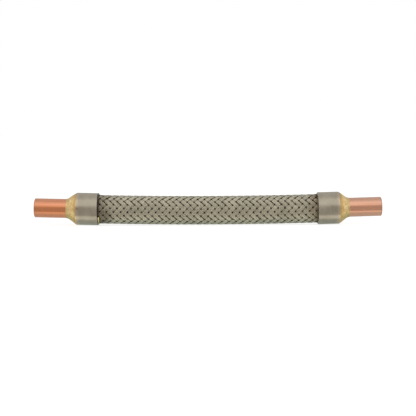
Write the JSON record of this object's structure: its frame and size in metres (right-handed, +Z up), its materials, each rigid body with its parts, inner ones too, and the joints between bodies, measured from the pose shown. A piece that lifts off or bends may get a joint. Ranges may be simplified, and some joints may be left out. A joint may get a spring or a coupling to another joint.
{
  "type": "vibration eliminator",
  "caption": "Flexible connector for a refrigeration line: a corrugated hose in a woven wire braid, with a steel ferrule and a brazed copper tube stub at each end.",
  "frame": {"origin": "on the surface that the part rests on, under the middle of its length", "axes": "+X runs along the hose from the left stub to the right stub, +Z is up and the hose bows down"},
  "size_m": [0.2102, 0.0196, 0.0199],
  "materials": {
    "copper": "drawn copper tube, smooth with faint lengthwise streaks",
    "braze": "gold-coloured brazing filler, brushed and slightly mottled",
    "ferrule_steel": "rolled stainless steel, satin with a warm tint",
    "braid_steel": "fine drawn stainless wires, with brown heat tint beside the ferrules",
    "hose_steel": "plain stainless steel, not seen in use"
  },
  "bodies": {
    "root": {"corrugated_hose": "hose_steel", "wire_braid": "braid_steel", "left_copper_stub": "copper", "right_copper_stub": "copper", "left_braze_fillet": "braze", "right_braze_fillet": "braze", "left_braze_run": "braze", "left_ferrule": "ferrule_steel", "right_ferrule": "ferrule_steel", "left_backing_ring": "hose_steel", "right_backing_ring": "hose_steel"}
  },
  "joints": []
}
